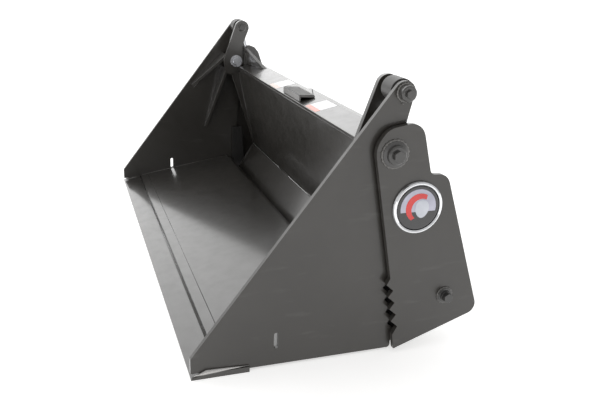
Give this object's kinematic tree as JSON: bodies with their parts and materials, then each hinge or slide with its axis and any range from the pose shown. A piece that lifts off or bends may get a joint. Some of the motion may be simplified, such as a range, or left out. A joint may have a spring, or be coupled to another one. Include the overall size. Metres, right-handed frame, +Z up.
{
  "type": "four-in-one loader bucket",
  "caption": "Steel loader bucket whose clam front swings open on top pivot pins, driven by a ram in each end; toothed end plates and a flat quick-attach face at the back.",
  "frame": {"origin": "middle of the footprint at ground level, under the closed bucket", "axes": "+Z up; +Y to the rear, from the cutting edge to the quick-attach face; +X to the bucket's right-hand end when looking rearwards from its mouth"},
  "size_m": [1.1246, 0.4912, 0.4604],
  "materials": {
    "paint": "semi-gloss warm dark grey paint",
    "pin_steel": "dark grey painted pins and heads",
    "chrome": "hard chrome, polished",
    "zinc": "zinc-plated",
    "badge_dark": "gloss, domed"
  },
  "bodies": {
    "rear_section": {"back_wall": "paint", "lower_panel": "paint", "blade_bar": "paint", "top_rail": "paint", "wedge_step": "paint", "inner_cheek_left": "paint", "inner_cheek_right": "paint", "outer_cheek_left": "paint", "outer_cheek_right": "paint", "bay_back_left": "paint", "bay_back_right": "paint", "gap_guard_left": "paint", "gap_guard_right": "paint", "rail_gusset_left": "paint", "rail_gusset_right": "paint", "mount_plate": "paint", "mount_lip": "paint", "mount_foot": "paint", "rib_1": "paint", "rib_2": "paint", "rib_3": "paint", "pivot_pin_left": "pin_steel", "pivot_pin_right": "pin_steel", "pivot_boss_left": "pin_steel", "pivot_boss_right": "pin_steel", "pivot_bolt_left": "pin_steel", "pivot_bolt_right": "pin_steel", "pivot_retainer_left": "zinc", "pivot_retainer_right": "zinc", "base_pin_left": "pin_steel", "base_pin_right": "pin_steel", "base_bolt_left": "pin_steel", "base_bolt_right": "pin_steel", "badge_rim_left": "chrome", "badge_rim_right": "chrome", "badge_face_left": "badge_dark", "badge_face_right": "badge_dark"},
    "clam": {"side_plate_left": "paint", "side_plate_right": "paint", "floor_plate": "paint", "cutting_edge": "paint", "floor_rear_bar": "paint", "inner_ear_left": "paint", "inner_ear_right": "paint", "upper_web_left": "paint", "upper_web_right": "paint", "lower_web_left": "paint", "lower_web_right": "paint", "top_pin_left": "pin_steel", "top_pin_right": "pin_steel", "top_bolt_left": "pin_steel", "top_bolt_right": "pin_steel"},
    "barrel_left": {"barrel_left": "paint", "gland_left": "pin_steel"},
    "barrel_right": {"barrel_right": "paint", "gland_right": "pin_steel"},
    "rod_left": {"rod_left": "chrome", "rod_eye_left": "pin_steel"},
    "rod_right": {"rod_right": "chrome", "rod_eye_right": "pin_steel"}
  },
  "joints": [
    {"name": "clam_pivot", "type": "hinge", "parent": "rear_section", "child": "clam", "pos_m": [0, 0.0694, 0.35], "axis": [-1, 0, 0], "range_deg": [0, 55]},
    {"name": "barrel_swing_left", "type": "hinge", "parent": "rear_section", "child": "barrel_left", "pos_m": [-0.50175, 0.1824, 0.099], "axis": [-1, 0, 0], "range_deg": [0, 10.8]},
    {"name": "rod_slide_left", "type": "slide", "parent": "barrel_left", "child": "rod_left", "axis": [0, 0.2716, -0.9624], "range_m": [0, 0.0606]},
    {"name": "barrel_swing_right", "type": "hinge", "parent": "rear_section", "child": "barrel_right", "pos_m": [0.50175, 0.1824, 0.099], "axis": [-1, 0, 0], "range_deg": [0, 10.8]},
    {"name": "rod_slide_right", "type": "slide", "parent": "barrel_right", "child": "rod_right", "axis": [0, 0.2716, -0.9624], "range_m": [0, 0.0606]}
  ],
  "couplings": [
    {"joint": "barrel_swing_left", "follows": "clam_pivot", "ratio": 0.19517},
    {"joint": "rod_slide_left", "follows": "clam_pivot", "m_per_rad": 0.063027},
    {"joint": "barrel_swing_right", "follows": "clam_pivot", "ratio": 0.19517},
    {"joint": "rod_slide_right", "follows": "clam_pivot", "m_per_rad": 0.063027}
  ]
}
